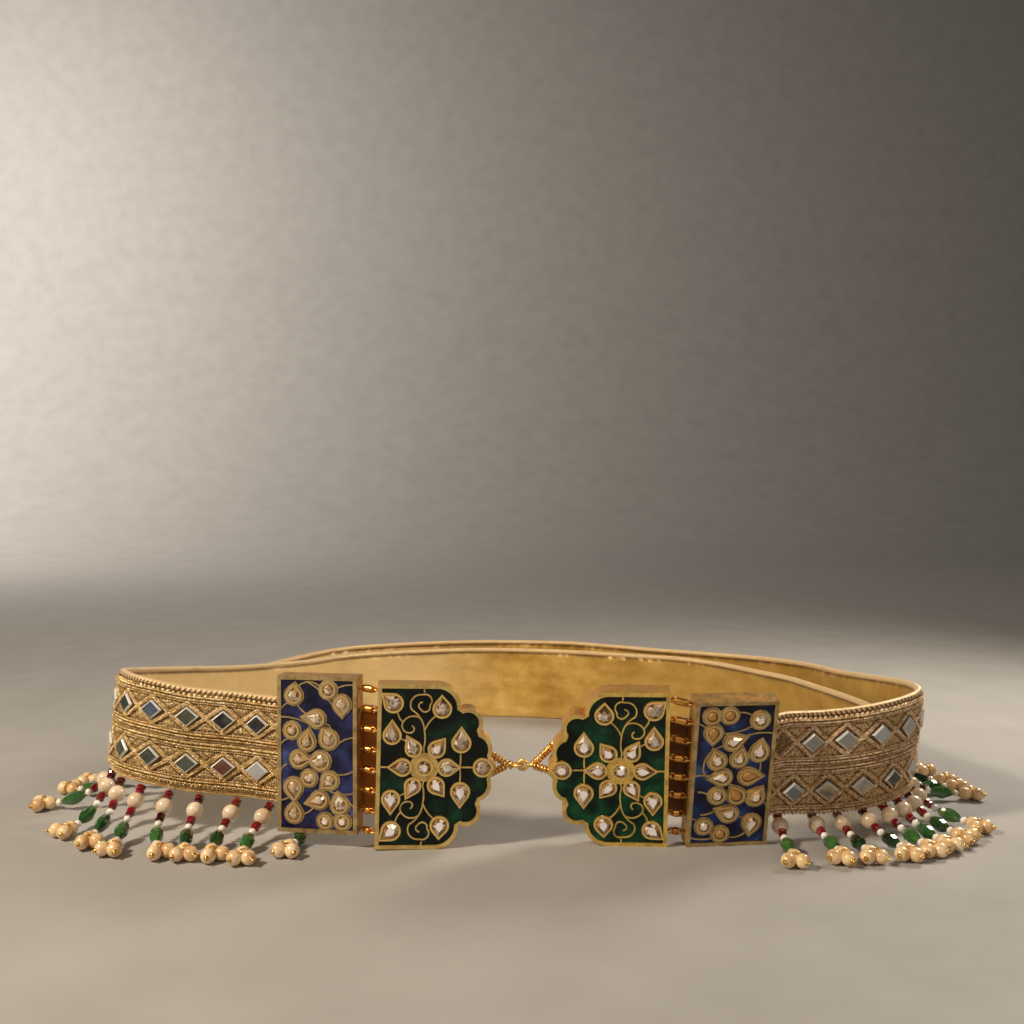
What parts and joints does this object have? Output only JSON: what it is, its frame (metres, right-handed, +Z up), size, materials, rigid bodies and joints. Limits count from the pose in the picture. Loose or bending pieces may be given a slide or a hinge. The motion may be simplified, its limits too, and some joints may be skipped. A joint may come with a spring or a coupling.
{
  "type": "enamel waist belt",
  "caption": "Folk waist belt standing on its edge: two gold brocade bands with mirror trims overlap at the back, hinged enamelled box plates clasp in front, beaded strands hang below.",
  "frame": {"origin": "centre of the bounding box, on the surface that the belt stands on", "axes": "+X to the right along the front as seen from outside, +Y from the clasp towards the overlapped back, +Z up"},
  "size_m": [0.4059, 0.3014, 0.0645],
  "materials": {
    "lining": "satin",
    "gold_braid": "metallic thread",
    "mirror_glass": "polished",
    "gilt_metal": "satin",
    "green_enamel": "gloss",
    "blue_enamel": "gloss",
    "cut_stone": "polished",
    "green_glass": "polished",
    "pearl": "pearl",
    "thread": "matt"
  },
  "bodies": {
    "root": {"left_band": "lining", "right_band": "lining", "left_trim_upper": "gold_braid", "left_trim_lower": "gold_braid", "right_trim_upper": "gold_braid", "right_trim_lower": "gold_braid", "left_mirrors_upper": "mirror_glass", "left_mirrors_lower": "mirror_glass", "right_mirrors_upper": "mirror_glass", "right_mirrors_lower": "mirror_glass", "left_green_plate": "gilt_metal", "left_green_enamel": "green_enamel", "left_green_stones": "cut_stone", "right_green_plate": "gilt_metal", "right_green_enamel": "green_enamel", "right_green_stones": "cut_stone", "left_blue_plate": "gilt_metal", "left_blue_enamel": "blue_enamel", "left_blue_stones": "cut_stone", "right_blue_plate": "gilt_metal", "right_blue_enamel": "blue_enamel", "right_blue_stones": "cut_stone", "left_links": "gilt_metal", "right_links": "gilt_metal", "clasp_wrap": "gilt_metal", "left_threads": "thread", "left_pearls": "pearl", "left_drops": "green_glass", "left_clusters": "pearl", "right_threads": "thread", "right_pearls": "pearl", "right_drops": "green_glass", "right_clusters": "pearl"}
  },
  "joints": []
}
